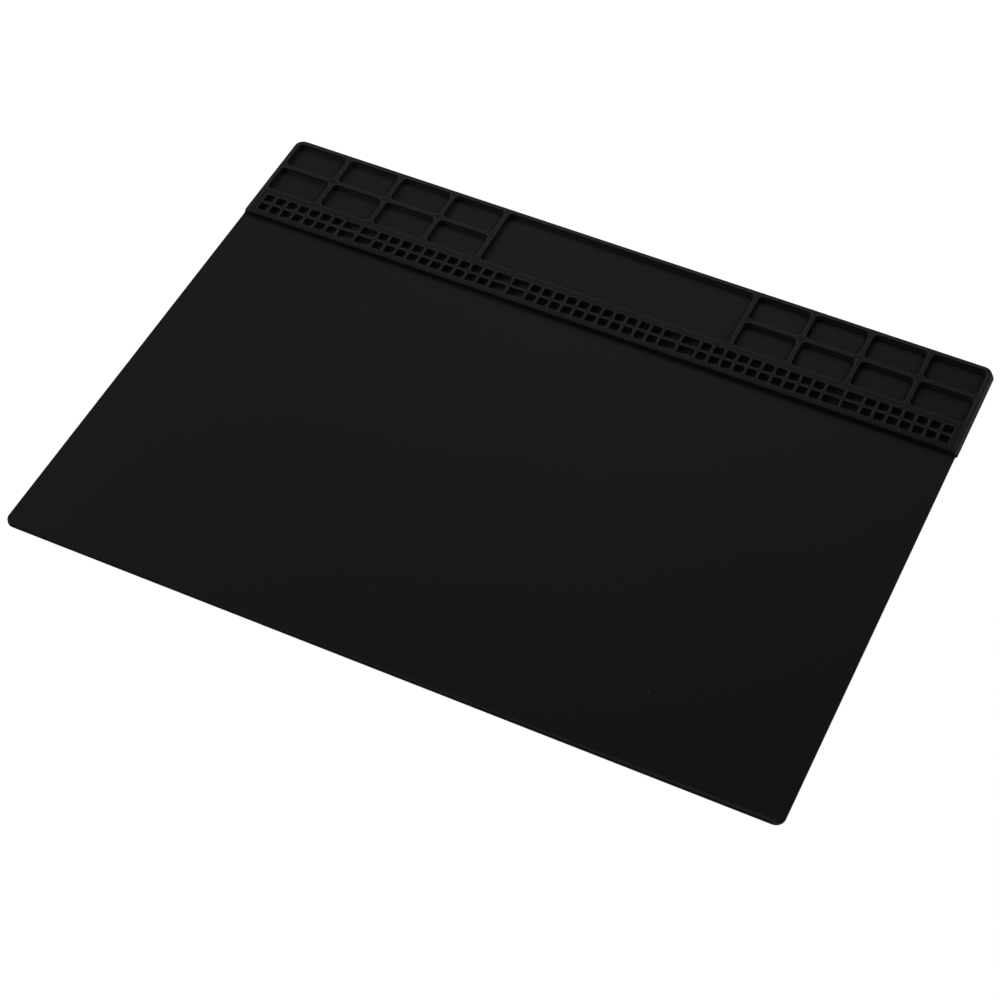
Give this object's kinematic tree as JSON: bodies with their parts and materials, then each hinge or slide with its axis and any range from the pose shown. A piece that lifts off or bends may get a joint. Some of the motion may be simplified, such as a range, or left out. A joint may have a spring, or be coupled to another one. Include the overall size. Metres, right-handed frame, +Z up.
{
  "type": "silicone repair mat",
  "caption": "Thin black silicone work mat with a raised strip along its back edge, moulded with sorting compartments, a centre tray and rows of small screw cells.",
  "frame": {"origin": "middle of the mat's flat underside, where it lies on the bench", "axes": "+X along the tray strip to the right, +Y from the open work sheet towards the tray strip, +Z up"},
  "size_m": [0.405, 0.305, 0.004],
  "materials": {
    "silicone_black": "matte moulded silicone"
  },
  "bodies": {
    "root": {"mat": "silicone_black"}
  },
  "joints": []
}
